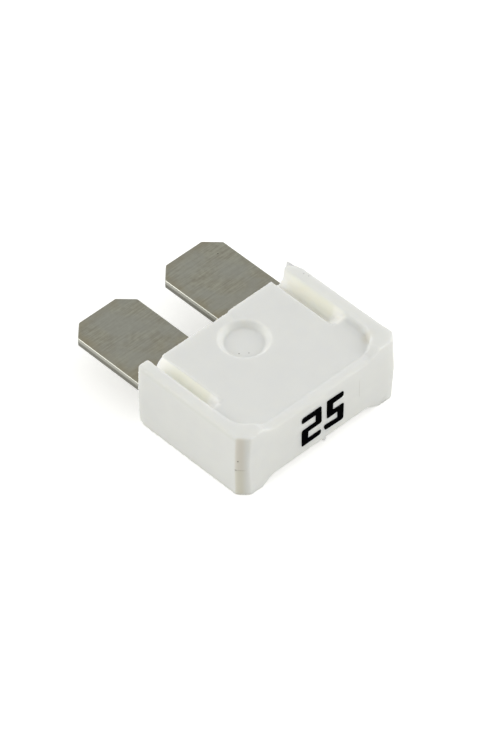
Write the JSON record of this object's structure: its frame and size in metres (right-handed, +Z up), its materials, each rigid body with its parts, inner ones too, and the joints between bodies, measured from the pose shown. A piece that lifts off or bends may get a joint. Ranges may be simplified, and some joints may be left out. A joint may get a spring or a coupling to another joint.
{
  "type": "automotive blade fuse",
  "caption": "Flat plug-in blade fuse: moulded plastic housing with recessed faces, and a stamped metal element with flat blades.",
  "frame": {"origin": "centre of the bounding box in X and Y, on the surface that the fuse lies on", "axes": "+Z up through the wide faces, +Y along the blades towards their tips, +X across the two blades"},
  "size_m": [0.0166, 0.02, 0.0062],
  "materials": {
    "housing": "moulded natural polyamide, slightly translucent, satin",
    "element": "rolled zinc alloy strip, dull grey, stamped edges"
  },
  "bodies": {
    "root": {"housing": "housing", "fuse_element": "element"}
  },
  "joints": []
}
